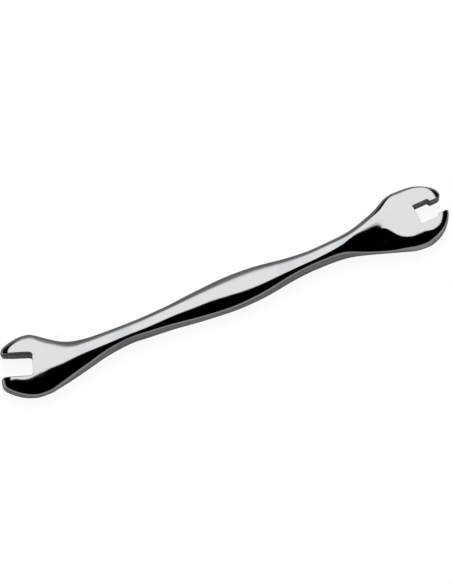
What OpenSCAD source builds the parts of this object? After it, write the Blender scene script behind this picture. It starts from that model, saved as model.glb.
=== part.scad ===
// Double-ended spoke wrench, cast in one piece and plated.
// One end is a plain open slot set off from the handle, the other a four-sided
// pocket whose narrow mouth slips over the spoke. The handle is a slim oval bar
// that swells at the middle into the grip.
// Millimetres. X runs along the handle, Y across it in the plane of the heads,
// Z is up. The origin is under the middle of the wrench as it lies flat.

/* [Handle] */
// Width of the grip swelling
grip_w = 9.9; // [7:0.1:14]
// Thickness at the grip
grip_t = 4.6; // [3:0.1:7]
// Width of the waist beside the slot head
slot_waist_w = 5.35; // [3.6:0.05:8]
// Thickness of the waist beside the slot head
slot_waist_t = 4.7; // [3:0.1:7]
// Width of the waist beside the pocket head
pocket_waist_w = 5.3; // [3.6:0.1:8]
// Thickness of the waist beside the pocket head
pocket_waist_t = 5; // [3:0.1:7]
// Distance from the grip's middle to the waist beside the slot head
slot_waist_run = 31; // [22:0.5:45]
// Distance from the grip's middle to the waist beside the pocket head
pocket_waist_run = 24.5; // [18:0.5:40]
// How far the slot waist lies to the far side of the handle's line
slot_waist_offset = 0.5; // [0:0.1:1.5]

/* [Slot head] */
// Distance from the waist to the middle of the slot head
slot_neck_run = 26.5; // [20:0.5:40]
// Width of the slot head at its widest
slot_head_w = 18.1; // [14:0.1:24]
// Thickness in the middle of the slot head
slot_head_t = 4.6; // [3:0.1:6]
// Thickness of the neck behind the slot head
slot_neck_t = 5; // [3:0.1:7]
// How far the slot head lies to the far side of the handle's line
slot_head_offset = 2.25; // [0:0.05:4]
// Width of the slot, the nipple size that it takes
slot_w = 6.4; // [4.4:0.1:8]
// How far the slot lies to the near side of the head's middle
slot_shift = 0.1; // [0:0.05:0.5]
// Depth of the slot from the jaw tips to its root
slot_depth = 8.6; // [6:0.1:10]
// Radius of the slot's two inner corners
slot_corner_r = 0.8; // [0.2:0.1:1.5]
// Radius that eases the slot's way in at each jaw tip
slot_tip_r = 1; // [0.2:0.1:2]
// Angle between the slot and the handle, in degrees
slot_angle = 21; // [0:1:30]
// Distance from the head's middle to the flat ends of the jaws
slot_reach = 8.6; // [8:0.05:11]
// Angle that the jaws' flat ends are turned to the near side, in degrees
slot_face_angle = 2; // [0:1:10]
// How flat the face stays towards the far jaw's tip, where 2 is a dome
slot_far_tip_full = 5; // [2:0.1:16]
// How flat the face stays towards the near jaw's tip
slot_near_tip_full = 3.8; // [2:0.1:16]

/* [Pocket head] */
// Distance from the waist to the middle of the pocket head
pocket_neck_run = 29; // [20:0.5:40]
// Width of the pocket head at its widest
pocket_head_w = 18; // [14:0.1:24]
// How far the pocket head lies to the near side of the handle's line, which the
// pocket itself follows
pocket_head_offset = 0.2; // [0:0.05:1]
// Thickness in the middle of the pocket head
pocket_head_t = 3.9; // [2.5:0.1:5]
// Thickness of the neck behind the pocket head
pocket_neck_t = 5.3; // [3:0.1:7]
// Width of the pocket, the nipple size that it takes
pocket_w = 5.8; // [5:0.1:8]
// Length of the pocket from its back wall to where the near shoulder starts
pocket_depth = 4.85; // [4.8:0.1:7]
// How much sooner the far shoulder starts
shoulder_lead = 0.45; // [0:0.1:1]
// Length of each shoulder along the pocket
shoulder_run = 0.55; // [0.3:0.05:1]
// Width of the mouth that lets the spoke in
mouth_w = 4.2; // [4.2:0.05:4.8]
// How far the mouth lies to the near side of the pocket's centre line
mouth_shift = 0.04; // [0:0.02:0.2]
// Length of the mouth, from the near shoulder's end to the jaw tips
mouth_depth = 3.05; // [1.5:0.05:3.5]
// Radius that eases the way into the mouth at the far jaw's tip
far_tip_r = 1.5; // [0.3:0.1:2]
// Radius that eases the way into the mouth at the near jaw's tip
near_tip_r = 0.7; // [0.3:0.1:2]
// Angle between the pocket and the handle, in degrees
pocket_angle = 2; // [0:1:15]
// Distance from the head's middle to the flat ends of the jaws
pocket_reach = 9.4; // [8:0.05:11]
// Angle that the jaws' flat ends are turned to the far side, in degrees
pocket_face_angle = 3; // [0:1:15]
// How flat the face stays towards the jaws' tips, where 2 is a dome
pocket_tip_full = 10; // [4:1:20]

/* [Hidden] */
overrun = 1;
round_fn = 48;

// Neck of the slot head, from its middle to the waist. Each row has the share
// of the run, the share of the width lost, the offset as a share of the head's
// width, and the place between head (0), neck (1) and waist (2).
slot_neck_shares = [
    [0.07, 0.985, 0.117, 0.05],
    [0.14, 0.89, 0.1, 0.2],
    [0.28, 0.605, 0.037, 0.6],
    [0.42, 0.37, -0.001, 1],
    [0.57, 0.21, -0.004, 1.35],
    [0.75, 0.085, 0.013, 1.75],
];

// Neck of the pocket head, the same way, but from the waist to the head's middle
pocket_neck_shares = [
    [0.82, 0.035, 0.002, 1.5],
    [0.68, 0.11, -0.006, 0.96],
    [0.55, 0.26, -0.018, 0.66],
    [0.42, 0.455, -0.021, 0.36],
    [0.3, 0.655, -0.017, 0.13],
    [0.2, 0.855, -0.001, 0.03],
    [0.1, 0.985, -0.004, 0],
];

// From the slot waist to the grip: share of the run and of the width gained
slot_grip_shares = [[0.15, 0.05], [0.31, 0.18], [0.46, 0.35], [0.61, 0.6], [0.77, 0.81], [0.92, 0.97]];

// From the grip to the pocket waist
pocket_grip_shares = [[0.9, 0.985], [0.71, 0.87], [0.52, 0.6], [0.33, 0.26], [0.13, 0.04]];

// Section of each row from the slot head to the pocket head: how far its crest
// lies to the far side, as a share of the half width, then the fullness of the
// far flank and of the near one, where 2 is an ellipse and more is squarer, and
// how keen the near edge is, from round (0) to a ridge (1)
section_shares = [
    [-0.08, 3.1, 2.25, 0.2],
    [-0.09, 3, 2.22, 0.2],
    [-0.1, 2.75, 2.18, 0.2],
    [-0.08, 2.3, 2.08, 0.15],
    [0.03, 2, 2, 0.05],
    [0.06, 2.21, 2.1, 0],
    [-0.07, 2.45, 2.35, 0],
    [-0.23, 2.6, 2.7, 0],
    [-0.15, 2.58, 2.7, 0],
    [0, 2.51, 2.5, 0],
    [0.1, 2.42, 2.4, 0],
    [0.115, 2.3, 2.3, 0],
    [0.12, 2.2, 2.2, 0],
    [0.055, 2.12, 2.18, 0],
    [0, 2.1, 2.2, 0],
    [-0.06, 2.12, 2.25, 0],
    [-0.145, 2.17, 2.3, 0],
    [-0.165, 2.3, 2.4, 0],
    [-0.18, 2.47, 2.6, 0],
    [-0.16, 2.58, 2.75, 0],
    [-0.11, 2.6, 2.65, 0],
    [0.02, 2.5, 2.25, 0],
    [0.22, 2.4, 1.95, 0],
    [0.43, 2.6, 2.35, 0.45],
    [0.52, 2.9, 2.75, 0.6],
    [0.45, 3.1, 3.5, 0.65],
    [0.12, 3.5, 4.7, 0.8],
    [-0.05, 3.8, 5.2, 1],
    [0, 4, 5.2, 1],
];

// How a rim's radius grows from the head's side to its jaw tip, with the second
// and the fourth power of the share of a quarter turn
slot_far_rim_shares = [0.33, 0.68];
slot_near_rim_shares = [0.06, 0.23];
pocket_far_rim_shares = [0.22, 0.2];
pocket_near_rim_shares = [-0.16, 0.42];

// How hard the rim and the jaws' flat ends meet: more is a sharper corner
corner_power = 20;

// Angle from the head's side at which the face has become as flat as at the tips
slot_tip_turn = 90;
pocket_tip_turn = 55;

// Share of the radius, turned over, at which that flatness is reached
tip_rate = 1.6;

slot_head_x = -slot_waist_run - slot_neck_run;
pocket_head_x = pocket_waist_run + pocket_neck_run;
steps_a_row = 3;
steps_a_fan = 30;
steps_a_rib = 9;

// How closely the levels of a rib crowd at its rim
rib_crowding = 0.83;

// Value between a, b and c, for s from 0 through 1 to 2
function between(a, b, c, s) = s < 1 ? a + (b - a) * s : b + (c - b) * (s - 1);

// One row of the handle's spline: place along, offset across, half width and
// half thickness
function row(x, offset, w, t) = [x, offset, w / 2, t / 2];

slot_neck_rows = [
    for (s = slot_neck_shares) row(
        slot_head_x + slot_neck_run * s[0],
        slot_head_w * s[2],
        slot_waist_w + (slot_head_w - slot_waist_w) * s[1],
        between(slot_head_t, slot_neck_t, slot_waist_t, s[3])
    )
];
slot_grip_rows = [
    for (s = slot_grip_shares) row(
        -slot_waist_run * (1 - s[0]),
        slot_waist_offset * pow(1 - s[0], 2),
        slot_waist_w + (grip_w - slot_waist_w) * s[1],
        slot_waist_t + (grip_t - slot_waist_t) * s[1]
    )
];
pocket_grip_rows = [
    for (s = pocket_grip_shares) row(
        pocket_waist_run * (1 - s[0]),
        0,
        pocket_waist_w + (grip_w - pocket_waist_w) * s[1],
        pocket_waist_t + (grip_t - pocket_waist_t) * s[1]
    )
];
pocket_neck_rows = [
    for (s = pocket_neck_shares) row(
        pocket_head_x - pocket_neck_run * s[0],
        pocket_head_w * s[2],
        pocket_waist_w + (pocket_head_w - pocket_waist_w) * s[1],
        between(pocket_head_t, pocket_neck_t, pocket_waist_t, s[3])
    )
];
plain_rows = concat(
    [row(slot_head_x, slot_head_offset, slot_head_w, slot_head_t)],
    slot_neck_rows,
    [row(-slot_waist_run, slot_waist_offset, slot_waist_w, slot_waist_t)],
    slot_grip_rows,
    [row(0, 0, grip_w, grip_t)],
    pocket_grip_rows,
    [row(pocket_waist_run, 0, pocket_waist_w, pocket_waist_t)],
    pocket_neck_rows,
    [row(pocket_head_x, -pocket_head_offset, pocket_head_w, pocket_head_t)]
);
row_count = len(plain_rows);
rows = [for (i = [0:row_count - 1]) concat(plain_rows[i], section_shares[i])];

// A row past either end mirrors the one inside it, so the curves arrive level
function mirrored(end, inner) = [2 * end[0] - inner[0], for (k = [1:len(inner) - 1]) inner[k]];
function padded(r) = concat(
    [mirrored(r[0], r[1])],
    r,
    [mirrored(r[len(r) - 1], r[len(r) - 2])]
);

// Control rows of a smooth spline that passes through the given rows
function settled(c, passes) = passes == 0 ? c : settled(
    let (p = padded(c))
    [for (i = [0:row_count - 1]) c[i] + rows[i] - (p[i] + 4 * p[i + 1] + p[i + 2]) / 6],
    passes - 1
);
controls = padded(settled(rows, 12));

// Point of the spline at share u of the stretch that starts at row i
function on_spline(i, u) =
    (pow(1 - u, 3) * controls[i]
    + (3 * pow(u, 3) - 6 * pow(u, 2) + 4) * controls[i + 1]
    + (-3 * pow(u, 3) + 3 * pow(u, 2) + 3 * u + 1) * controls[i + 2]
    + pow(u, 3) * controls[i + 3]) / 6;

station_count = (row_count - 1) * steps_a_row + 1;
stations = [
    for (k = [0:station_count - 1])
        let (i = min(floor(k / steps_a_row), row_count - 2))
        on_spline(i, k / steps_a_row - i)
];

// Distance from a head's middle to its rim, at an angle turned from its side:
// the rim's own growth, cut off by the jaws' flat ends
function rim_radius(half_w, rim_shares, reach, turned, end_angle) =
    let (quarter = turned / 90)
    let (side = half_w * (1 + rim_shares[0] * pow(quarter, 2) + rim_shares[1] * pow(quarter, 4)))
    pow(
        pow(side, -corner_power)
        + (cos(end_angle) > 0 ? pow(reach / cos(end_angle), -corner_power) : 0),
        -1 / corner_power
    );

// Smooth rise from 0 to 1
function eased(share) = let (s = min(share, 1)) s * s * (3 - 2 * s);

// A rib is its rim point, its inner point, the way to the rim as shares along and
// across, its station, and the fullness at the jaw's tip with its share here
function rib(rim, inner, way, station, tip_full, tip) = [rim, inner, way, station, tip_full, tip];

function side_rib(s, side) = rib([s[0], s[1] + side * s[2]], [s[0], s[1]], [0, side], s, 2, 0);

function rim_rib(head, direction, turned, rim_shares, reach, end_angle, tip_full, tip_turn) =
    let (r = rim_radius(head[2], rim_shares, reach, turned, end_angle))
    rib(
        [head[0] + r * cos(direction), head[1] + r * sin(direction)],
        [head[0], head[1]],
        [cos(direction), sin(direction)],
        head,
        tip_full,
        eased(turned / tip_turn)
    );

slot_station = stations[0];
pocket_station = stations[station_count - 1];

// Ribs round the slot head, from its near side to its far side
slot_fan = [
    for (k = [1:steps_a_fan - 1])
        let (turned = 180 * k / steps_a_fan)
        let (direction = 270 - turned)
        let (far = direction < 180 - slot_angle)
        rim_rib(
            slot_station,
            direction,
            far ? 180 - turned : turned,
            far ? slot_far_rim_shares : slot_near_rim_shares,
            slot_reach,
            direction - (180 - slot_angle + slot_face_angle),
            far ? slot_far_tip_full : slot_near_tip_full,
            slot_tip_turn
        )
];

// Ribs round the pocket head, from its far side to its near side
pocket_fan = [
    for (k = [1:steps_a_fan - 1])
        let (turned = 180 * k / steps_a_fan)
        let (direction = 90 - turned)
        let (near = direction < pocket_angle)
        rim_rib(
            pocket_station,
            direction,
            near ? 180 - turned : turned,
            near ? pocket_near_rim_shares : pocket_far_rim_shares,
            pocket_reach,
            direction - pocket_face_angle,
            pocket_tip_full,
            pocket_tip_turn
        )
];

far_ribs = [for (s = stations) side_rib(s, 1)];
near_ribs = [for (k = [station_count - 1:-1:0]) side_rib(stations[k], -1)];
ribs = concat(far_ribs, pocket_fan, near_ribs, slot_fan);
rib_count = len(ribs);

// Height of the face over the middle plane, for shares along and across of the
// way from the crest line to the rim
function crown(s, along, across, tip_full, tip) =
    let (shifted = across - s[4] * pow(1 - across * across - along * along, 2))
    let (side_full = shifted > 0 ? s[5] : s[6])
    let (full = side_full + (tip_full - side_full) * tip)
    let (keen = shifted > 0 ? 0 : s[7] * (1 - tip))
    let (out = min(norm([shifted, along]), 1))
    s[3] * pow(1 - pow(out, full), 1 / full + (1 - 1 / full) * keen);

// Which of the inner points a rib ends at
function inner_index(i) =
    i < station_count ? i
    : i < station_count + steps_a_fan - 1 ? station_count - 1
    : i < 2 * station_count + steps_a_fan - 1 ? 2 * station_count + steps_a_fan - 2 - i
    : 0;

// Level j of a rib, on the side up or down
function rib_point(r, j, side) =
    let (out = j == 0 ? 1 : pow(cos(90 * j / steps_a_rib), rib_crowding))
    let (p = r[1] + (r[0] - r[1]) * out)
    let (tip = r[5] * eased(tip_rate * out))
    [p[0], p[1], j == 0 ? 0 : side * crown(r[3], out * r[2][0], out * r[2][1], r[4], tip)];

top_points = [for (j = [0:steps_a_rib - 1]) for (r = ribs) rib_point(r, j, 1)];
low_points = [for (j = [1:steps_a_rib - 1]) for (r = ribs) rib_point(r, j, -1)];
top_crest = [for (s = stations) [s[0], s[1], crown(s, 0, 0, 2, 0)]];
low_crest = [for (p = top_crest) [p[0], p[1], -p[2]]];
body_points = concat(top_points, low_points, top_crest, low_crest);

low_start = rib_count * steps_a_rib;
crest_start = rib_count * (2 * steps_a_rib - 1);
low_crest_start = crest_start + station_count;

// Number of the point at level j of rib i, below the rim when side is -1
function at(i, j, side) =
    let (k = i % rib_count)
    j == steps_a_rib ? (side > 0 ? crest_start : low_crest_start) + inner_index(k)
    : side > 0 || j == 0 ? j * rib_count + k
    : low_start + (j - 1) * rib_count + k;

// The two triangles between neighbouring ribs, without the ones that have no area
function patch(a, b, c, d) = concat(
    a == b || b == c || a == c ? [] : [[a, b, c]],
    a == c || c == d || a == d ? [] : [[a, c, d]]
);
top_faces = [
    for (j = [0:steps_a_rib - 1])
        for (i = [0:rib_count - 1])
            each patch(at(i, j, 1), at(i + 1, j, 1), at(i + 1, j + 1, 1), at(i, j + 1, 1))
];
low_faces = [
    for (j = [0:steps_a_rib - 1])
        for (i = [0:rib_count - 1])
            each patch(at(i, j, -1), at(i, j + 1, -1), at(i + 1, j + 1, -1), at(i + 1, j, -1))
];

thickest = 2 * max([for (p = body_points) p[2]]);
slot_centre = [
    slot_station[0] - slot_shift * sin(slot_angle),
    slot_station[1] - slot_shift * cos(slot_angle),
];
pocket_centre = [pocket_head_x, 0];

// The rim points that the slot and the mouth leave standing give the wrench's box
slot_standing = [
    for (r = slot_fan)
        if (abs(cos(slot_angle) * (r[0][1] - slot_centre[1])
            + sin(slot_angle) * (r[0][0] - slot_centre[0])) > slot_w / 2) r[0][0]
];
pocket_standing = [
    for (r = pocket_fan)
        if (abs(cos(pocket_angle) * r[0][1]
            - sin(pocket_angle) * (r[0][0] - pocket_head_x)) > mouth_w / 2) r[0][0]
];
rim_y = [for (r = ribs) r[0][1]];
middle = [
    (min(slot_standing) + max(pocket_standing)) / 2,
    (min(rim_y) + max(rim_y)) / 2,
];

// What a rounded jaw tip leaves open beside a straight wall: the wall runs along
// X and ends in a quarter circle that turns away from it
module tip_easing(r) {
    difference() {
        square([r + overrun, r]);
        translate([0, r])
            circle(r = r, $fn = round_fn);
    }
}

// Plan of the slot, along +X from its root, with its two inner corners rounded
module slot_plan() {
    translate([0, -slot_w / 2 + slot_corner_r])
        square([slot_depth + overrun, slot_w - 2 * slot_corner_r]);
    translate([slot_corner_r, -slot_w / 2])
        square([slot_depth - slot_corner_r + overrun, slot_w]);
    for (side = [-1, 1]) {
        translate([slot_corner_r, side * (slot_w / 2 - slot_corner_r)])
            circle(r = slot_corner_r, $fn = round_fn);
        scale([1, side])
            translate([slot_depth - slot_tip_r, slot_w / 2])
                tip_easing(slot_tip_r);
    }
}

// Plan of the pocket, along +X from its back wall: two shoulders close in on the
// nipple's outer corners, the far one first
module pocket_plan() {
    far_start = pocket_depth - shoulder_lead;
    far_lip = mouth_w / 2 - mouth_shift;
    near_lip = mouth_w / 2 + mouth_shift;
    end = pocket_depth + shoulder_run + mouth_depth;
    polygon([
        [0, -pocket_w / 2],
        [pocket_depth, -pocket_w / 2],
        [pocket_depth + shoulder_run, -near_lip],
        [end + overrun, -near_lip],
        [end + overrun, far_lip],
        [far_start + shoulder_run, far_lip],
        [far_start, pocket_w / 2],
        [0, pocket_w / 2],
    ]);
    translate([end - far_tip_r, far_lip])
        tip_easing(far_tip_r);
    scale([1, -1])
        translate([end - near_tip_r, near_lip])
            tip_easing(near_tip_r);
}

// Places a jaw's plan at a head's middle, turned towards its mouth and pushed
// out so that the cut ends past the jaw tips
module at_head(centre, direction, root) {
    translate([centre[0], centre[1], -thickest / 2 - overrun])
        rotate([0, 0, direction])
            translate([root, 0, 0])
                linear_extrude(thickest + 2 * overrun) children();
}

module wrench_body() {
    pocket_root = pocket_reach - pocket_depth - shoulder_run - mouth_depth;
    color([0.84, 0.85, 0.86])
        translate([-middle[0], -middle[1], thickest / 2])
            difference() {
                polyhedron(body_points, concat(top_faces, low_faces), convexity = 6);
                at_head(slot_centre, 180 - slot_angle, slot_reach - slot_depth) slot_plan();
                at_head(pocket_centre, pocket_angle, pocket_root) pocket_plan();
            }
}

wrench_body();
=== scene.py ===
import math

import bpy
import numpy as np
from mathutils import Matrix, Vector


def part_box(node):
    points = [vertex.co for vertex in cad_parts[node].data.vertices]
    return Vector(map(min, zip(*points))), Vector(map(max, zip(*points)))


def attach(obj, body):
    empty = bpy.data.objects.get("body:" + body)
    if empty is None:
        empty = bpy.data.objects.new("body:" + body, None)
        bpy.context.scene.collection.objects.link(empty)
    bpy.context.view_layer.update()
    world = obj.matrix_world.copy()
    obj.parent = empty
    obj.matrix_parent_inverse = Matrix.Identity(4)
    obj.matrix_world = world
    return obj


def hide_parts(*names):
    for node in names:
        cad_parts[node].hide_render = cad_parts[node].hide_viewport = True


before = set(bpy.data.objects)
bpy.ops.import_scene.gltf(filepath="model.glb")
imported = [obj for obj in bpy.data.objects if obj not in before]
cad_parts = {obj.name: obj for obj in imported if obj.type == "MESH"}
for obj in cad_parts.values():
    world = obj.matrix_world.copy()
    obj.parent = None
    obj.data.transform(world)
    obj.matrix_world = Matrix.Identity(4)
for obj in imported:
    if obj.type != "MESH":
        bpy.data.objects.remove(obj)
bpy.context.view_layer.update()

# ----------------------------------------------------------------------------
# Wrench body: the handle and the two heads.
# A single steel casting, ground and polished all over, so its outline and its
# crown run in one sweep from jaw to jaw. Sizes are in millimetres, along the
# handle (x), across it (y) and up from the middle plane (z).

GRIP_W, GRIP_T = 9.9, 4.6
SLOT_WAIST_W, SLOT_WAIST_T, SLOT_WAIST_RUN, SLOT_WAIST_OFFSET = 5.35, 4.7, 31.0, 0.5
POCKET_WAIST_W, POCKET_WAIST_T, POCKET_WAIST_RUN = 5.3, 5.0, 24.5
SLOT_NECK_RUN, SLOT_NECK_T = 26.5, 5.0
SLOT_HEAD_W, SLOT_HEAD_T, SLOT_HEAD_OFFSET = 18.1, 4.6, 2.25
POCKET_NECK_RUN, POCKET_NECK_T = 29.0, 5.3
POCKET_HEAD_W, POCKET_HEAD_T, POCKET_HEAD_OFFSET = 18.0, 3.9, -0.2

# From head to waist: share of the neck's run, share of the head's extra width,
# offset as a share of the head's width, and place between head (0), neck (1)
# and waist (2)
SLOT_NECK_SHARES = (
    (0.07, 0.985, 0.117, 0.05),
    (0.14, 0.89, 0.1, 0.2),
    (0.28, 0.605, 0.037, 0.6),
    (0.42, 0.37, -0.001, 1.0),
    (0.57, 0.21, -0.004, 1.35),
    (0.75, 0.085, 0.013, 1.75),
)
POCKET_NECK_SHARES = (
    (0.1, 0.985, -0.004, 0.0),
    (0.2, 0.855, -0.001, 0.03),
    (0.3, 0.655, -0.017, 0.13),
    (0.42, 0.455, -0.021, 0.36),
    (0.55, 0.26, -0.018, 0.66),
    (0.68, 0.11, -0.006, 0.96),
    (0.82, 0.035, 0.002, 1.5),
)
# From waist to grip: share of the run, and share of the width gained
SLOT_GRIP_SHARES = ((0.15, 0.05), (0.31, 0.18), (0.46, 0.35), (0.61, 0.6), (0.77, 0.81), (0.92, 0.97))
POCKET_GRIP_SHARES = ((0.13, 0.04), (0.33, 0.26), (0.52, 0.6), (0.71, 0.87), (0.9, 0.985))

# Each row's crest lies off the middle, to the far side (+) or the near one, as
# grinding by hand leaves it: a share of the half width. Then come the fullness
# of the far flank and of the near one, and how keen the near edge between the
# upper and the lower skin is, from round (0) to a ridge (1).
SECTION_SHARES = (
    # slot head, its neck, and the waist
    (-0.08, 3.1, 2.25, 0.2),
    (-0.09, 3.0, 2.22, 0.2), (-0.1, 2.75, 2.18, 0.2), (-0.08, 2.3, 2.08, 0.15),
    (0.03, 2.0, 2.0, 0.05), (0.06, 2.21, 2.1, 0.0), (-0.07, 2.45, 2.35, 0.0),
    (-0.23, 2.6, 2.7, 0.0),
    # up to the grip's middle
    (-0.15, 2.58, 2.7, 0.0), (0.0, 2.51, 2.5, 0.0), (0.1, 2.42, 2.4, 0.0),
    (0.115, 2.3, 2.3, 0.0), (0.12, 2.2, 2.2, 0.0), (0.055, 2.12, 2.18, 0.0),
    (0.0, 2.1, 2.2, 0.0),
    # down to the other waist
    (-0.06, 2.12, 2.25, 0.0), (-0.145, 2.17, 2.3, 0.0), (-0.165, 2.3, 2.4, 0.0),
    (-0.18, 2.47, 2.6, 0.0), (-0.16, 2.58, 2.75, 0.0),
    (-0.11, 2.6, 2.65, 0.0),
    # pocket neck and head
    (0.02, 2.5, 2.25, 0.0), (0.22, 2.4, 1.95, 0.0), (0.43, 2.6, 2.35, 0.45), (0.52, 2.9, 2.75, 0.6),
    (0.45, 3.1, 3.5, 0.65), (0.12, 3.5, 4.7, 0.8), (-0.05, 3.8, 5.2, 1.0),
    (0.0, 4.0, 5.2, 1.0),
)

SLOT_HEAD_X = -SLOT_WAIST_RUN - SLOT_NECK_RUN
POCKET_HEAD_X = POCKET_WAIST_RUN + POCKET_NECK_RUN


def between(head, neck, waist, place):
    """Value part of the way from head (0) through neck (1) to waist (2)."""
    return head + (neck - head) * place if place < 1 else neck + (waist - neck) * (place - 1)


def wrench_rows():
    """Rows from slot head to pocket head: x, offset, half width, half thickness, section."""
    rows = [(SLOT_HEAD_X, SLOT_HEAD_OFFSET, SLOT_HEAD_W / 2, SLOT_HEAD_T / 2)]
    for run, kept, offset, place in SLOT_NECK_SHARES:
        rows.append((
            SLOT_HEAD_X + SLOT_NECK_RUN * run,
            SLOT_HEAD_W * offset,
            (SLOT_WAIST_W + (SLOT_HEAD_W - SLOT_WAIST_W) * kept) / 2,
            between(SLOT_HEAD_T, SLOT_NECK_T, SLOT_WAIST_T, place) / 2))
    rows.append((-SLOT_WAIST_RUN, SLOT_WAIST_OFFSET, SLOT_WAIST_W / 2, SLOT_WAIST_T / 2))
    for run, gain in SLOT_GRIP_SHARES:
        rows.append((
            -SLOT_WAIST_RUN * (1 - run),
            SLOT_WAIST_OFFSET * (1 - run) ** 2,
            (SLOT_WAIST_W + (GRIP_W - SLOT_WAIST_W) * gain) / 2,
            (SLOT_WAIST_T + (GRIP_T - SLOT_WAIST_T) * gain) / 2))
    rows.append((0, 0, GRIP_W / 2, GRIP_T / 2))
    for run, gain in reversed(POCKET_GRIP_SHARES):
        rows.append((
            POCKET_WAIST_RUN * (1 - run),
            0,
            (POCKET_WAIST_W + (GRIP_W - POCKET_WAIST_W) * gain) / 2,
            (POCKET_WAIST_T + (GRIP_T - POCKET_WAIST_T) * gain) / 2))
    rows.append((POCKET_WAIST_RUN, 0, POCKET_WAIST_W / 2, POCKET_WAIST_T / 2))
    for run, kept, offset, place in reversed(POCKET_NECK_SHARES):
        rows.append((
            POCKET_HEAD_X - POCKET_NECK_RUN * run,
            POCKET_HEAD_W * offset,
            (POCKET_WAIST_W + (POCKET_HEAD_W - POCKET_WAIST_W) * kept) / 2,
            between(POCKET_HEAD_T, POCKET_NECK_T, POCKET_WAIST_T, place) / 2))
    rows.append((POCKET_HEAD_X, POCKET_HEAD_OFFSET, POCKET_HEAD_W / 2, POCKET_HEAD_T / 2))
    return np.column_stack([rows, SECTION_SHARES])


def padded(rows):
    """A row past either end mirrors the one inside it, so the curves arrive level."""
    first, last = rows[1].copy(), rows[-2].copy()
    first[0] = 2 * rows[0][0] - first[0]
    last[0] = 2 * rows[-1][0] - last[0]
    return np.vstack([first, rows, last])


# The control rows of a smooth cubic spline, settled until it runs through the rows
SETTLE_ROUNDS, SPLINE_STEPS = 12, 8000
ROWS = wrench_rows()
controls = ROWS.copy()
for settle in range(SETTLE_ROUNDS):
    p = padded(controls)
    controls = controls + ROWS - (p[:-2] + 4 * p[1:-1] + p[2:]) / 6
controls = padded(controls)


def on_spline(u):
    """Rows of the smooth spline at places u, counted in rows."""
    i = np.clip(np.floor(u).astype(int), 0, len(ROWS) - 2)
    f = (u - i)[..., None]
    return (
        (1 - f) ** 3 * controls[i]
        + (3 * f ** 3 - 6 * f ** 2 + 4) * controls[i + 1]
        + (-3 * f ** 3 + 3 * f ** 2 + 3 * f + 1) * controls[i + 2]
        + f ** 3 * controls[i + 3]) / 6


spline_u = np.linspace(0, len(ROWS) - 1, SPLINE_STEPS + 1)
spline_x = on_spline(spline_u)[:, 0]


def handle_row(x):
    """The spline's row at a place along the handle."""
    return on_spline(np.interp(x, spline_x, spline_u))


# Heads: each ends in two jaws, whose tips are ground to a flat face. Angles are
# in degrees. The skin grows fuller towards a tip, over the tip's turn and over
# the first part of the way out from the head's middle (the spread's inverse).
SLOT_ANGLE, SLOT_REACH, SLOT_FACE_ANGLE, SLOT_TIP_TURN = 21.0, 8.6, 2.0, 90.0
POCKET_ANGLE, POCKET_REACH, POCKET_FACE_ANGLE, POCKET_TIP_TURN = 2.0, 9.4, 3.0, 55.0
SLOT_FAR_TIP, SLOT_NEAR_TIP, POCKET_FAR_TIP, POCKET_NEAR_TIP = 5.0, 3.8, 10.0, 10.0
TIP_SPREAD = 1.6
# How sharply side and face meet, and the limits past which neither side nor face
# shapes the rim
CORNER_POWER, TURN_LIMIT, FACING_LIMIT, NO_FACE = 20, 1.3, 0.05, 1e6
# How the rim's radius grows past a head's middle, with the second and the
# fourth power of the share of the quarter turn
SLOT_FAR_RIM, SLOT_NEAR_RIM = (0.33, 0.68), (0.06, 0.23)
POCKET_FAR_RIM, POCKET_NEAR_RIM = (0.22, 0.2), (-0.16, 0.42)


def head_rim(head, direction):
    """Rim radius in a direction, in degrees from +x, the tip's fullness there and its share."""
    if head == "slot":
        half_w, reach, tip_turn = SLOT_HEAD_W / 2, SLOT_REACH, SLOT_TIP_TURN
        direction = np.mod(direction, 360)
        far = direction < 180 - SLOT_ANGLE
        turned = np.where(far, direction - 90, 270 - direction)
        grows = np.where(far[..., None], SLOT_FAR_RIM, SLOT_NEAR_RIM)
        tip_full = np.where(far, SLOT_FAR_TIP, SLOT_NEAR_TIP)
        end = direction - (180 - SLOT_ANGLE + SLOT_FACE_ANGLE)
    else:
        half_w, reach, tip_turn = POCKET_HEAD_W / 2, POCKET_REACH, POCKET_TIP_TURN
        direction = np.mod(direction + 180, 360) - 180
        far = direction > POCKET_ANGLE
        turned = np.where(far, 90 - direction, 90 + direction)
        grows = np.where(far[..., None], POCKET_FAR_RIM, POCKET_NEAR_RIM)
        tip_full = np.where(far, POCKET_FAR_TIP, POCKET_NEAR_TIP)
        end = direction - POCKET_FACE_ANGLE
    quarter = np.clip(turned / 90, 0, TURN_LIMIT)
    side = half_w * (1 + grows[..., 0] * quarter ** 2 + grows[..., 1] * quarter ** 4)
    facing = np.cos(np.radians(end))
    flat = np.where(facing > FACING_LIMIT, reach / np.maximum(facing, FACING_LIMIT), NO_FACE)
    radius = (side ** -CORNER_POWER + flat ** -CORNER_POWER) ** (-1 / CORNER_POWER)
    share = np.clip(turned / tip_turn, 0, 1)
    return radius, tip_full, share ** 2 * (3 - 2 * share)


SLOT_HEAD_AT = (SLOT_HEAD_X, SLOT_HEAD_OFFSET)
POCKET_HEAD_AT = (POCKET_HEAD_X, POCKET_HEAD_OFFSET)


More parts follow.
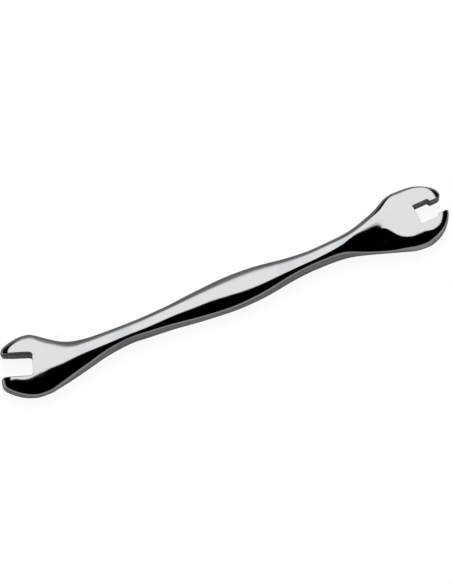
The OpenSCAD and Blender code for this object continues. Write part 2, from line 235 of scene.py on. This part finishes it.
def section_at(x, y):
    """From crest (0) to rim (1) at plan points, with half thickness, fullness, edge power."""
    row = handle_row(np.clip(x, SLOT_HEAD_X, POCKET_HEAD_X))
    across = (y - row[..., 1]) / row[..., 2]
    along, tip, tip_full = np.zeros_like(across), np.zeros_like(across), np.full_like(across, 2.0)
    for head, (hx, hy), sign in (("slot", SLOT_HEAD_AT, -1), ("pocket", POCKET_HEAD_AT, 1)):
        past = (x - hx) * sign > 0
        radius, head_full, head_tip = head_rim(head, np.degrees(np.arctan2(y - hy, x - hx)))
        across = np.where(past, (y - hy) / radius, across)
        along = np.where(past, (x - hx) / radius, along)
        reach_out = np.minimum(TIP_SPREAD * np.hypot(across, along), 1)
        tip = np.where(past, head_tip * reach_out ** 2 * (3 - 2 * reach_out), tip)
        tip_full = np.where(past, head_full, tip_full)
    shifted = across - row[..., 4] * (1 - across ** 2 - along ** 2) ** 2
    side_full = np.where(shifted > 0, row[..., 5], row[..., 6])
    keen = np.where(shifted > 0, 0, row[..., 7])
    full = side_full + (tip_full - side_full) * tip
    edge = 1 / full + (1 - 1 / full) * keen * (1 - tip)
    return np.hypot(shifted, along), row[..., 3], full, edge


def crown(x, y):
    """Height of the polished face over the middle plane."""
    out, half_t, full, edge = section_at(x, y)
    return half_t * (1 - np.minimum(out, 1) ** full) ** edge


def fill(x, y, z):
    """How full the section is at a point: 1 on the skin, less inside it."""
    out, half_t, full, edge = section_at(x, y)
    return out ** full + (z / half_t) ** (1 / edge)


SLOPE_STEP, LEAST_SLOPE = 2e-3, 1e-12


def crown_normal(points):
    """Unit normals of the upper skin, from the slope of its own formula."""
    h = SLOPE_STEP
    x, y, z = points[..., 0], points[..., 1], points[..., 2]
    under = np.maximum(z - h, 0)
    g = np.stack([
        (fill(x + h, y, z) - fill(x - h, y, z)) / (2 * h),
        (fill(x, y + h, z) - fill(x, y - h, z)) / (2 * h),
        (fill(x, y, z + h) - fill(x, y, under)) / (z + h - under)], axis=-1)
    return g / np.maximum(np.linalg.norm(g, axis=-1, keepdims=True), LEAST_SLOPE)


def skin(plan):
    """Points and normals of the upper skin over plan points (n, m, 2)."""
    points = np.concatenate([plan, crown(plan[..., 0], plan[..., 1])[..., None]], axis=-1)
    return points, crown_normal(points)


# Jaws: the slot and the pocket are broached through the heads, so their walls
# stand square to the middle plane. The slot's rims are eased by the buffing
# wheel, the pocket's are left crisp.
SLOT_W, SLOT_SHIFT, SLOT_DEPTH, SLOT_CORNER_R, SLOT_TIP_R = 6.4, 0.1, 8.6, 0.8, 1.0
POCKET_W, POCKET_DEPTH, SHOULDER_LEAD, SHOULDER_RUN = 5.8, 4.85, 0.45, 0.55
MOUTH_W, MOUTH_SHIFT, MOUTH_DEPTH, FAR_TIP_R, NEAR_TIP_R = 4.2, 0.04, 3.05, 1.5, 0.7
SLOT_RIM_R, POCKET_RIM_R, ROOT_RIM_R, POCKET_CORNER_R = 0.45, 0.1, 0.06, 0.12
RIM_LIMIT = 0.35
# Spacing of the samples along an edge, and of the ribs on its lines and arcs
SAMPLE_MM, LINE_MARK_MM, ARC_MARK_MM, FIRST_MARK_MM = 0.01, 0.3, 0.12, 0.03
ARC_SAMPLES, ARC_MARKS, NO_LENGTH = 12, 5, 1e-6


def rounded(corners, radii):
    """The path past rounded corners, as lines (start, end) and arcs (hub, arm, turn)."""
    path = []
    start = corners[0]
    for k in range(1, len(corners) - 1):
        towards = (corners[k] - corners[k - 1]) / np.linalg.norm(corners[k] - corners[k - 1])
        onward = (corners[k + 1] - corners[k]) / np.linalg.norm(corners[k + 1] - corners[k])
        turn = math.acos(np.clip(towards @ onward, -1, 1))
        cut = radii[k] * math.tan(turn / 2)
        first = corners[k] - towards * cut
        if np.linalg.norm(first - start) > NO_LENGTH:
            path.append(("line", start, first))
        side = np.sign(towards[0] * onward[1] - towards[1] * onward[0])
        hub = first + np.array([-towards[1], towards[0]]) * side * radii[k]
        path.append(("arc", hub, first - hub, side * turn))
        start = corners[k] + onward * cut
    return path + [("line", start, corners[-1])]


def along_line(start, end):
    """Points along a line and the normals to its left, its length, and its number of ribs."""
    run = np.linalg.norm(end - start)
    steps = max(2, math.ceil(run / SAMPLE_MM))
    points = start + (end - start) * np.linspace(0, 1, steps)[:, None]
    way = (end - start) / run
    return points, np.repeat([[-way[1], way[0]]], steps, 0), run, math.ceil(run / LINE_MARK_MM)


def along_arc(hub, arm, turn):
    """The same along an arc, which an arm sweeps round a hub."""
    run = np.linalg.norm(arm) * abs(turn)
    a = np.linspace(0, turn, max(ARC_SAMPLES, math.ceil(run / SAMPLE_MM)))[:, None]
    spun = arm * np.cos(a) + np.array([-arm[1], arm[0]]) * np.sin(a)
    normals = -spun * np.sign(turn) / np.linalg.norm(arm)
    return hub + spun, normals, run, max(ARC_MARKS, math.ceil(run / ARC_MARK_MM))


class JawEdge:
    """Half of a jaw's plan edge, from its tip to the middle of its root."""

    def __init__(self, corners, radii, mirrored, root, centre, turned):
        s, at, m, marks = [], [], [], []
        self.length = 0.0
        for kind, *shape in rounded([np.array(c, float) for c in corners], radii):
            points, normals, run, rib_count = (along_line if kind == "line" else along_arc)(*shape)
            marks += list(self.length + run * np.arange(rib_count) / rib_count)
            s.append(self.length + run * np.linspace(0, 1, len(points)))
            at.append(points)
            m.append(normals)
            self.length += run
        # Set into the head: mirrored for the other half, moved to the root, turned
        flip = [1, -1 if mirrored else 1]
        c, n = math.cos(math.radians(turned)), math.sin(math.radians(turned))
        spin = np.array([[c, n], [-n, c]])
        self.s = np.concatenate(s)
        self.at = (np.vstack(at) * flip + [root, 0]) @ spin + centre
        self.m = (np.vstack(m) * flip) @ spin
        # The edge starts where it comes in over the head's rim
        out = section_at(self.at[:, 0], self.at[:, 1])[0]
        k = int(np.argmax(out < 1))
        f = (out[k - 1] - 1) / (out[k - 1] - out[k]) if k else 0
        self.start = self.s[k - 1] + (self.s[k] - self.s[k - 1]) * f if k else 0
        marks = np.array(marks + [self.length])
        self.marks = np.concatenate([[self.start], marks[marks > self.start + FIRST_MARK_MM]])

    def sample(self, s):
        """Points of the edge at lengths s from the tip, and the wall's normals there."""
        keep = np.concatenate([[True], np.diff(self.s) > NO_LENGTH])
        at = np.stack([np.interp(s, self.s[keep], self.at[keep, k]) for k in (0, 1)], -1)
        m = np.stack([np.interp(s, self.s[keep], self.m[keep, k]) for k in (0, 1)], -1)
        return at, m / np.linalg.norm(m, axis=-1, keepdims=True)


slot_turn = 180 - SLOT_ANGLE
slot_centre = np.array(SLOT_HEAD_AT) - SLOT_SHIFT * np.array(
    [math.sin(math.radians(SLOT_ANGLE)), math.cos(math.radians(SLOT_ANGLE))])
slot_corners = [(SLOT_DEPTH, SLOT_W / 2 + SLOT_TIP_R), (SLOT_DEPTH, SLOT_W / 2), (0, SLOT_W / 2), (0, 0)]
slot_radii = [0, SLOT_TIP_R, SLOT_CORNER_R, 0]
slot_root = SLOT_REACH - SLOT_DEPTH
pocket_end = POCKET_DEPTH + SHOULDER_RUN + MOUTH_DEPTH
pocket_root = POCKET_REACH - pocket_end
pocket_centre = np.array([POCKET_HEAD_X, 0.0])


def pocket_half(lip, tip_r, shoulder):
    """Corners and radii of one half of the pocket, from its tip to its root."""
    corners = [(pocket_end, lip + tip_r), (pocket_end, lip), (shoulder + SHOULDER_RUN, lip),
               (shoulder, POCKET_W / 2), (0, POCKET_W / 2), (0, 0)]
    return corners, [0, tip_r, POCKET_CORNER_R, POCKET_CORNER_R, POCKET_CORNER_R, 0]


far_half = pocket_half(MOUTH_W / 2 - MOUTH_SHIFT, FAR_TIP_R, POCKET_DEPTH - SHOULDER_LEAD)
near_half = pocket_half(MOUTH_W / 2 + MOUTH_SHIFT, NEAR_TIP_R, POCKET_DEPTH)
jaws = {
    ("slot", 1): JawEdge(slot_corners, slot_radii, True, slot_root, slot_centre, slot_turn),
    ("slot", -1): JawEdge(slot_corners, slot_radii, False, slot_root, slot_centre, slot_turn),
    ("pocket", 1): JawEdge(*far_half, False, pocket_root, pocket_centre, POCKET_ANGLE),
    ("pocket", -1): JawEdge(*near_half, True, pocket_root, pocket_centre, POCKET_ANGLE),
}


# Ribs: every rib runs from the outline to the crest, or to the rim of a jaw. The
# heads' ribs end abreast of the roots, where the handle's ribs take over.
RINGS, RIM_STEPS, WALL_STEPS = 22, 5, 6
SLOT_ABREAST, POCKET_ABREAST = -51.0, 46.5
FAN_SAMPLES, FLANK_SAMPLES = 900, 400
REACH_LIMIT, EDGE_EVENNESS = 0.9995, 0.3


def outline_past(head, side, first_direction, abreast, fractions):
    """Outline points from a jaw tip round the head to the place abreast of the root."""
    hx, hy = SLOT_HEAD_AT if head == "slot" else POCKET_HEAD_AT
    side_direction = 90 * side
    last_direction = side_direction if head == "pocket" or side > 0 else 270
    d = np.linspace(first_direction, last_direction, FAN_SAMPLES)
    radius = head_rim(head, d)[0]
    fan = np.stack([hx + radius * np.cos(np.radians(d)), hy + radius * np.sin(np.radians(d))], -1)
    x = np.linspace(hx, abreast, FLANK_SAMPLES)[1:]
    row = handle_row(x)
    line = np.vstack([fan, np.stack([x, row[:, 1] + side * row[:, 2]], -1)])
    s = np.concatenate([[0], np.cumsum(np.linalg.norm(np.diff(line, axis=0), axis=1))])
    at = fractions * s[-1]
    return np.stack([np.interp(at, s, line[:, k]) for k in (0, 1)], -1)


def ribs(outer, inner):
    """Plan points of ribs from the outline to their inner ends, closer near the rim."""
    full, edge = section_at(outer[:, 0], outer[:, 1])[2:]
    reach = np.clip(section_at(inner[:, 0], inner[:, 1])[0], 0, REACH_LIMIT)
    turn = np.arccos(reach ** (full / 2))
    j = np.arange(RINGS + 1) / RINGS
    t = (1 - np.cos(turn[:, None] * j) ** (2 / full[:, None])) / (1 - reach[:, None])
    t += (j - t) * EDGE_EVENNESS * edge[:, None]
    t[:, -1] = 1
    return outer[:, None] + (inner - outer)[:, None] * t[..., None]


def rim_radius_at(head, at, from_middle):
    """Rim radius at points so far from the root's middle, where the wheel can't reach."""
    r = SLOT_RIM_R if head == "slot" else POCKET_RIM_R
    share = np.clip((from_middle - SLOT_W / 4) / (SLOT_W / 2), 0, 1)
    r = ROOT_RIM_R + (r - ROOT_RIM_R) * share ** 2 * (3 - 2 * share)
    return np.minimum(r, RIM_LIMIT * crown(at[:, 0], at[:, 1]))


def jaw_parts(head, side):
    """Plan of the jaw's ribs, and its rim and wall as points and normals."""
    edge = jaws[head, side]
    at, m = edge.sample(edge.marks)
    r = rim_radius_at(head, at, edge.length - edge.marks)[:, None]
    r[0] = 0
    hx, hy = SLOT_HEAD_AT if head == "slot" else POCKET_HEAD_AT
    first = math.degrees(math.atan2(at[0, 1] - hy, at[0, 0] - hx))
    if head == "slot":
        first %= 360
    fractions = (edge.marks - edge.start) / (edge.length - edge.start)
    abreast = SLOT_ABREAST if head == "slot" else POCKET_ABREAST
    outer = outline_past(head, side, first, abreast, fractions)
    outer[0] = at[0]
    plan = ribs(outer, at - m * r)
    plan[0] = at[0]
    # The rim turns from the skin's slope, a radius inside the edge, to the wall
    turn = np.radians(np.linspace(0, 90, RIM_STEPS + 1))
    rim_plan = at[:, None] - (m * r)[:, None] * (1 - np.sin(turn))[None, :, None]
    rim, rim_n = skin(rim_plan)
    rim[..., 2] -= r * (1 - np.cos(turn))
    rim[0, :, 2] = 0
    flat_m = np.concatenate([m, np.zeros((len(m), 1))], -1)[:, None]
    rim_n = np.cos(turn)[None, :, None] * rim_n + np.sin(turn)[None, :, None] * flat_m
    rim_n /= np.linalg.norm(rim_n, axis=-1, keepdims=True)
    # The wall goes straight down from the upper rim to the lower one
    wall = np.repeat(rim[:, -1:], WALL_STEPS + 1, 1)
    wall[..., 2] *= 1 - np.arange(WALL_STEPS + 1) / WALL_STEPS * 2
    return plan, rim, rim_n, wall, np.repeat(flat_m, WALL_STEPS + 1, 1)


# The handle's ribs: evenly spaced in three stretches, with the grip in the middle.
# Near the roots they bend to the root's middle, and lean to stay abreast of it.
GRIP_FROM, GRIP_TO, STRETCH_RIBS = -8, 9, (111, 99, 102)
BEND_RUN, LEAN_RUN = 4, 30


def handle_ribs(side):
    """Ribs of the handle, from the slot's root to the pocket's."""
    ends = []
    for head in ("slot", "pocket"):
        at, m = jaws[head, 1].sample(np.array([jaws[head, 1].length]))
        ends.append(at[0] - m[0] * ROOT_RIM_R)
    start, end = ends
    x = np.concatenate([
        np.linspace(start[0], GRIP_FROM, STRETCH_RIBS[0], endpoint=False),
        np.linspace(GRIP_FROM, GRIP_TO, STRETCH_RIBS[1], endpoint=False),
        np.linspace(GRIP_TO, end[0], STRETCH_RIBS[2])])

    def eased(f):
        """Smooth step from 0 to 1, level and unbent at both ends."""
        f = np.clip(f, 0, 1)
        return f * f * f * (10 - 15 * f + 6 * f * f)

    y = handle_row(np.clip(x, SLOT_HEAD_X, POCKET_HEAD_X))[:, 1]
    off_start, off_end = start[1] - y[0], end[1] - y[-1]
    y += off_start * (1 - eased((x - start[0]) / BEND_RUN))
    y += off_end * eased((x - end[0] + BEND_RUN) / BEND_RUN)
    lean = (SLOT_ABREAST - start[0]) * (1 - eased((x - start[0]) / LEAN_RUN))
    lean -= (end[0] - POCKET_ABREAST) * eased((x - end[0] + LEAN_RUN) / LEAN_RUN)
    row = handle_row(x + lean)
    outer = np.stack([x + lean, row[:, 1] + side * row[:, 2]], -1)
    return ribs(outer, np.stack([x, y], -1))


# The share of wall, kept for the material, rises late over the rim
SATIN_POWER = 4
wrench_points, wrench_normals, wrench_faces, wall_share = [], [], [], []


def add_patch(points, normals, outward, on_wall=0.0):
    """Adds a net of points as quads; outward is False where its winding faces in."""
    n, m = points.shape[:2]
    base = sum(len(p) for p in wrench_points)
    wrench_points.append(points.reshape(-1, 3))
    wrench_normals.append(normals.reshape(-1, 3))
    wall_share.append(np.broadcast_to(on_wall, (n, m)).reshape(-1))
    i, j = np.meshgrid(np.arange(n - 1), np.arange(m - 1), indexing="ij")
    a = base + i * m + j
    quads = np.stack([a, a + 1, a + m + 1, a + m], -1).reshape(-1, 4)
    wrench_faces.append(quads if outward else quads[:, ::-1])


# The far side and the near one: ribs from one jaw tip to the other in a single
# net, above and below, with the jaws' rims and walls
for side in (1, -1):
    nets = []
    for head in ("slot", "pocket"):
        plan, rim, rim_n, wall, wall_n = jaw_parts(head, side)
        nets.append(skin(plan))
        turned = (side > 0) == (head == "slot")
        edge_share = np.broadcast_to(np.linspace(0, 1, RIM_STEPS + 1) ** SATIN_POWER, rim.shape[:2])
        for up in (1, -1):
            add_patch(rim * [1, 1, up], rim_n * [1, 1, up], turned == (up > 0), edge_share)
        add_patch(wall, wall_n, turned, 1.0)
    handle = skin(handle_ribs(side))
    slot_net, pocket_net = nets
    points = np.concatenate([slot_net[0], handle[0][1:-1], pocket_net[0][::-1]])
    normals = np.concatenate([slot_net[1], handle[1][1:-1], pocket_net[1][::-1]])
    points[:, 0, 2] = points[0, :, 2] = points[-1, :, 2] = 0
    for up in (1, -1):
        add_patch(points * [1, 1, up], normals * [1, 1, up], (side > 0) == (up > 0))

# Points that fall together are joined, and the body is drawn in by a hair so that
# it stays inside the solid's box.
JOIN_MM, DRAWN_IN = 2e-4, (0.9995, 0.9995, 0.997)
points = np.vstack(wrench_points)
normals = np.vstack(wrench_normals)
shares = np.concatenate(wall_share)
kept, joined = np.unique(
    np.round(points / JOIN_MM).astype(np.int64), axis=0, return_index=True, return_inverse=True)[1:]
joined = joined.reshape(-1)
faces, corner_normals = [], []
for quad, own in zip(joined[np.vstack(wrench_faces)], np.vstack(wrench_faces)):
    corners = [k for k, v in enumerate(quad) if v != quad[k - 1]]
    if len({int(quad[k]) for k in corners}) > 2:
        faces.append([int(quad[k]) for k in corners])
        corner_normals += [normals[own[k]] for k in corners]
points, shares = points[kept], shares[kept]

low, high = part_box("wrench_body")
centre = (points.min(0) + points.max(0)) / 2
middle = np.array([(low[k] + high[k]) / 2 for k in range(3)])
placed = (points - centre) * DRAWN_IN / 1000 + middle

wrench_mesh = bpy.data.meshes.new("wrench")
wrench_mesh.from_pydata(placed.tolist(), [], faces)
wrench_mesh.polygons.foreach_set("use_smooth", [True] * len(wrench_mesh.polygons))
attribute = wrench_mesh.attributes.new("jaw_wall", "FLOAT", "POINT")
attribute.data.foreach_set("value", shares)
wrench_mesh.normals_split_custom_set([tuple(n) for n in corner_normals])
wrench = bpy.data.objects.new("wrench", wrench_mesh)
bpy.context.scene.collection.objects.link(wrench)


def linear(hex_colour):
    """sRGB hex to linear RGBA."""
    out = []
    for k in (1, 3, 5):
        c = int(hex_colour[k:k + 2], 16) / 255
        out.append(c / 12.92 if c <= 0.04045 else ((c + 0.055) / 1.055) ** 2.4)
    return (*out, 1.0)


def add_node(tree, kind, inputs=None, **settings):
    """Adds a node; inputs are sockets to link or values to set, by name or place."""
    node = tree.nodes.new(kind)
    for name, value in settings.items():
        setattr(node, name, value)
    for name, value in (inputs or {}).items():
        if isinstance(value, bpy.types.NodeSocket):
            tree.links.new(value, node.inputs[name])
        else:
            node.inputs[name].default_value = value
    return node


# Bright chrome plating over cast steel, buffed by hand: a clean mirror with a
# faint orange-peel waviness and hairlines from the wheel. Inside the jaws, where
# the wheel can't reach, the broach's upright tool marks show through as satin.
# Under the slot's rim a near-black band is painted on the walls: a painted dark
# reflection, standing in for the rim mirroring the dark studio. A thin film of
# handling, in wide soft patches, keeps the mirror from reading as one flat tone.
PAINTED_REFLECTION_FROM_MM, PAINTED_REFLECTION_FULL_MM = 3.7, 4.2
PEEL_MM, HAIRLINE_MM, HAIRLINE_RUN_MM, MARK_MM, MARK_RUN_MM, FILM_MM = 3.5, 0.12, 6.0, 0.5, 3.0, 11.11
PEEL_DEPTH_MM, HAIRLINE_DEPTH_MM, MARK_DEPTH_MM = 0.006, 0.0001, 0.01
plating = bpy.data.materials.new("bright chrome plating on cast steel")
plating.use_nodes = True
tree = plating.node_tree
tree.nodes.clear()
place = add_node(tree, "ShaderNodeTexCoord").outputs["Object"]
wall = add_node(tree, "ShaderNodeAttribute", attribute_name="jaw_wall").outputs["Fac"]
peel = add_node(tree, "ShaderNodeTexNoise", {
    "Vector": place, "Scale": 1000 / PEEL_MM, "Detail": 1.0, "Roughness": 0.4}).outputs["Fac"]
along = add_node(tree, "ShaderNodeMapping", {
    "Vector": place, "Scale": (1000 / HAIRLINE_RUN_MM, 1000 / HAIRLINE_MM, 1000 / HAIRLINE_MM)})
hairline = add_node(tree, "ShaderNodeTexNoise", {
    "Vector": along.outputs[0], "Scale": 1.0, "Detail": 2.0}).outputs["Fac"]
upright = add_node(tree, "ShaderNodeMapping", {
    "Vector": place, "Scale": (1000 / MARK_MM, 1000 / MARK_MM, 1000 / MARK_RUN_MM)})
mark = add_node(tree, "ShaderNodeTexNoise", {
    "Vector": upright.outputs[0], "Scale": 1.0, "Detail": 2.0}).outputs["Fac"]
film = add_node(tree, "ShaderNodeTexNoise", {
    "Vector": place, "Scale": 1000 / FILM_MM, "Detail": 3.0, "Roughness": 0.6}).outputs["Fac"]
film_share = add_node(tree, "ShaderNodeMapRange", {
    "Value": film, "From Min": 0.5, "From Max": 0.72, "To Min": 0.0, "To Max": 1.0},
    interpolation_type="SMOOTHSTEP").outputs[0]
face_colour = add_node(tree, "ShaderNodeMix", {
    "Factor": film_share, "A": linear("#E1E3E3"), "B": linear("#D3D9DC")}, data_type="RGBA")
mark_share = add_node(tree, "ShaderNodeMapRange", {
    "Value": mark, "From Min": 0.3, "From Max": 0.7, "To Min": 0.0, "To Max": 1.0}).outputs[0]
wall_colour = add_node(tree, "ShaderNodeMix", {
    "Factor": mark_share, "A": linear("#BDC1C2"), "B": linear("#ECEEEE")}, data_type="RGBA")
# Painted dark reflection: the slot's walls turn near black over their top, just under the rim
seat = add_node(tree, "ShaderNodeSeparateXYZ", {0: place})
under_rim = add_node(tree, "ShaderNodeMapRange", {
    "Value": seat.outputs["Z"], "From Min": PAINTED_REFLECTION_FROM_MM / 1000, "From Max": PAINTED_REFLECTION_FULL_MM / 1000,
    "To Min": 0.0, "To Max": 1.0}, interpolation_type="SMOOTHSTEP").outputs[0]
in_slot = add_node(tree, "ShaderNodeMath", {
    0: seat.outputs["X"], 1: -SLOT_WAIST_RUN / 1000}, operation="LESS_THAN").outputs[0]
painted_reflection_share = add_node(tree, "ShaderNodeMath", {
    0: under_rim, 1: in_slot}, operation="MULTIPLY").outputs[0]
wall_with_painted_reflection = add_node(tree, "ShaderNodeMix", {
    "Factor": painted_reflection_share, "A": wall_colour.outputs["Result"], "B": linear("#2A2B2C")}, data_type="RGBA")
colour = add_node(tree, "ShaderNodeMix", {
    "Factor": wall, "A": face_colour.outputs["Result"],
    "B": wall_with_painted_reflection.outputs["Result"]}, data_type="RGBA")
face_gloss = add_node(tree, "ShaderNodeMapRange", {
    "Value": hairline, "From Min": 0.35, "From Max": 0.75, "To Min": 0.045, "To Max": 0.1}).outputs[0]
wall_gloss = add_node(tree, "ShaderNodeMapRange", {
    "Value": mark, "From Min": 0.3, "From Max": 0.7, "To Min": 0.6, "To Max": 0.4}).outputs[0]
gloss = add_node(tree, "ShaderNodeMix", {"Factor": wall, "A": face_gloss, "B": wall_gloss})
waves = add_node(tree, "ShaderNodeBump", {
    "Strength": 1.0, "Distance": PEEL_DEPTH_MM / 1000, "Height": peel})
lines = add_node(tree, "ShaderNodeBump", {
    "Strength": 1.0, "Distance": HAIRLINE_DEPTH_MM / 1000, "Height": hairline, "Normal": waves.outputs[0]})
cut = add_node(tree, "ShaderNodeBump", {
    "Strength": wall, "Distance": MARK_DEPTH_MM / 1000, "Height": mark, "Normal": lines.outputs[0]})
metal = add_node(tree, "ShaderNodeBsdfPrincipled", {
    "Metallic": 1.0, "Base Color": colour.outputs["Result"], "Roughness": gloss.outputs["Result"],
    "Normal": cut.outputs[0]})
add_node(tree, "ShaderNodeOutputMaterial", {"Surface": metal.outputs[0]})
wrench_mesh.materials.append(plating)

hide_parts("wrench_body")
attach(wrench, "root")

# ----------------------------------------------------------------------------
# Floor: a sheet of matt white card that the wrench lies on, six metres across so
# that its edge is never in view. To the eye it is as white as the backdrop, less
# the wrench's shadow. In the metal it is far dimmer, as beyond the edge of a small
# card, which draws the dark line along the outline.
FLOOR_HALF, CARD_GLOW, CARD_IN_METAL = 3.0, 0.86, 0.02
floor_mesh = bpy.data.meshes.new("floor")
floor_mesh.from_pydata(
    [(-FLOOR_HALF, -FLOOR_HALF, 0), (FLOOR_HALF, -FLOOR_HALF, 0),
     (FLOOR_HALF, FLOOR_HALF, 0), (-FLOOR_HALF, FLOOR_HALF, 0)], [], [(0, 1, 2, 3)])
floor = bpy.data.objects.new("floor", floor_mesh)
bpy.context.scene.collection.objects.link(floor)
card = bpy.data.materials.new("matt white card")
card.use_nodes = True
tree = card.node_tree
tree.nodes.clear()
path = add_node(tree, "ShaderNodeLightPath")
mirrored_ray = add_node(tree, "ShaderNodeMath", {
    0: path.outputs["Is Glossy Ray"], 1: path.outputs["Is Transmission Ray"]}, operation="MAXIMUM")
in_metal = add_node(tree, "ShaderNodeMath", {
    0: mirrored_ray.outputs[0], 1: CARD_IN_METAL}, operation="MULTIPLY")
glow = add_node(tree, "ShaderNodeMath", {
    0: path.outputs["Is Camera Ray"], 1: CARD_GLOW, 2: in_metal.outputs[0]}, operation="MULTIPLY_ADD")
paper = add_node(tree, "ShaderNodeBsdfPrincipled", {
    "Base Color": linear("#F2F2F2"), "Roughness": 0.9, "Specular IOR Level": 0.0,
    "Emission Color": (1, 1, 1, 1), "Emission Strength": glow.outputs[0]})
add_node(tree, "ShaderNodeOutputMaterial", {"Surface": paper.outputs[0]})
floor_mesh.materials.append(card)

# ----------------------------------------------------------------------------
# Light: one large soft box above the far side, from 12 to about 57 degrees off
# overhead with its far edge soft, and a dimmer card behind it. Below is a grey
# room, darker to its foot, with a dim window at either side. Between them is black
# cloth, which draws the black bands on the metal. To the camera itself the room is
# a white backdrop.
BOX_TURN = 23.87
BOX_LEVEL, CARD_LEVEL, WINDOW_LEVEL = 0.98, 0.2, 0.46
ROOM_LEVEL, ROOM_FOOT_LEVEL, ROOM_TOP = 0.28, 0.05, 0.42
world = bpy.data.worlds.new("studio")
bpy.context.scene.world = world
world.use_nodes = True
tree = world.node_tree
tree.nodes.clear()
way = add_node(tree, "ShaderNodeTexCoord").outputs["Generated"]
turned = add_node(tree, "ShaderNodeVectorRotate", {
    "Vector": way, "Angle": math.radians(BOX_TURN)}, rotation_type="Z_AXIS")
split = add_node(tree, "ShaderNodeSeparateXYZ", {0: turned.outputs[0]})
right_x, far_y, up_z = split.outputs["X"], split.outputs["Y"], split.outputs["Z"]
away = add_node(tree, "ShaderNodeMath", {0: far_y, 1: up_z}, operation="ARCTAN2").outputs[0]
across = add_node(tree, "ShaderNodeMath", {0: right_x, 1: up_z}, operation="ARCTAN2").outputs[0]
# Each edge has the angle, or the share of the way to the side or up, at which it
# is wholly outside its light and the one at which it is wholly inside.
edges = {}
for name, value, outside, inside in (
        ("near", away, math.radians(10.5), math.radians(13.5)),
        ("far", away, math.radians(70), math.radians(44)),
        ("right", across, math.radians(7.8), math.radians(5.8)),
        ("left", right_x, -0.285, -0.235),
        ("behind", away, math.radians(63), math.radians(68)),
        ("behind's left", right_x, -0.42, -0.3),
        ("low", up_z, 0.7, 0.6),
        ("lowest", up_z, 0.42, 0.25),
        ("near side", far_y, 0.3, 0.0),
        ("right side", right_x, -0.1, 0.1),
        ("right window", right_x, 0.7, 0.85),
        ("left window", right_x, -0.7, -0.85),
        ("window's sill", up_z, 0.03, 0.09),
        ("window's head", up_z, 0.5, 0.4)):
    edges[name] = add_node(tree, "ShaderNodeMapRange", {
        "Value": value, "From Min": outside, "From Max": inside, "To Min": 0.0, "To Max": 1.0},
        interpolation_type="SMOOTHSTEP").outputs[0]
for name, operation, first, second in (
        ("box depth", "MULTIPLY", "near", "far"),
        ("box width", "MULTIPLY", "right", "left"),
        ("box", "MULTIPLY", "box depth", "box width"),
        ("side", "MAXIMUM", "near side", "right side"),
        ("low side", "MULTIPLY", "low", "side"),
        ("room", "MAXIMUM", "low side", "lowest"),
        ("card", "MULTIPLY", "behind", "behind's left"),
        ("either", "MAXIMUM", "right window", "left window"),
        ("glass", "MULTIPLY", "window's sill", "window's head"),
        ("windows", "MULTIPLY", "either", "glass")):
    edges[name] = add_node(tree, "ShaderNodeMath", {
        0: edges[first], 1: edges[second]}, operation=operation).outputs[0]
room_level = add_node(tree, "ShaderNodeMapRange", {
    "Value": up_z, "From Min": 0.0, "From Max": ROOM_TOP,
    "To Min": ROOM_FOOT_LEVEL, "To Max": ROOM_LEVEL}).outputs[0]
level = 0.0
for name, strength in (
        ("card", CARD_LEVEL), ("room", room_level), ("windows", WINDOW_LEVEL), ("box", BOX_LEVEL)):
    level = add_node(tree, "ShaderNodeMix", {
        "Factor": edges[name], "A": level, "B": strength}).outputs["Result"]
backdrop = add_node(tree, "ShaderNodeMix", {
    "Factor": add_node(tree, "ShaderNodeLightPath").outputs["Is Camera Ray"], "A": level, "B": 1.0})
sky = add_node(tree, "ShaderNodeBackground", {"Color": (1, 1, 1, 1), "Strength": backdrop.outputs["Result"]})
add_node(tree, "ShaderNodeOutputWorld", {"Surface": sky.outputs[0]})

# ----------------------------------------------------------------------------
# Camera: a long lens, 22 degrees off the wrench's face. The scale and the place of
# the wrench's middle in the picture are in pixels, the distance in metres.
TILT, TURN = 68.0, -23.87
PX_PER_MM, PHOTO_W, PHOTO_H = 3.72, 452, 584
MIDDLE_X_PX, MIDDLE_Y_PX = 223.7, 292.65
DISTANCE, SENSOR_MM = 1.6, 36.0
az, el = math.radians(TURN), math.radians(TILT)
back = np.array([math.sin(az) * math.cos(el), -math.cos(az) * math.cos(el), math.sin(el)])
right = np.array([math.cos(az), math.sin(az), 0])
upward = np.cross(back, right)
aside = right * (PHOTO_W / 2 - MIDDLE_X_PX) + upward * (MIDDLE_Y_PX - PHOTO_H / 2)
aim = middle + aside / PX_PER_MM / 1000
lens = bpy.data.cameras.new("camera")
lens.sensor_width = SENSOR_MM
lens.lens = SENSOR_MM * DISTANCE / (PHOTO_H / PX_PER_MM / 1000)
lens.clip_start, lens.clip_end = 0.05, 20
camera = bpy.data.objects.new("camera", lens)
bpy.context.scene.collection.objects.link(camera)
camera.location = (aim + back * DISTANCE).tolist()
camera.rotation_mode = "QUATERNION"
camera.rotation_quaternion = Vector((-back).tolist()).to_track_quat("-Z", "Y")
bpy.context.scene.camera = camera

bpy.context.scene.view_settings.view_transform = "Standard"
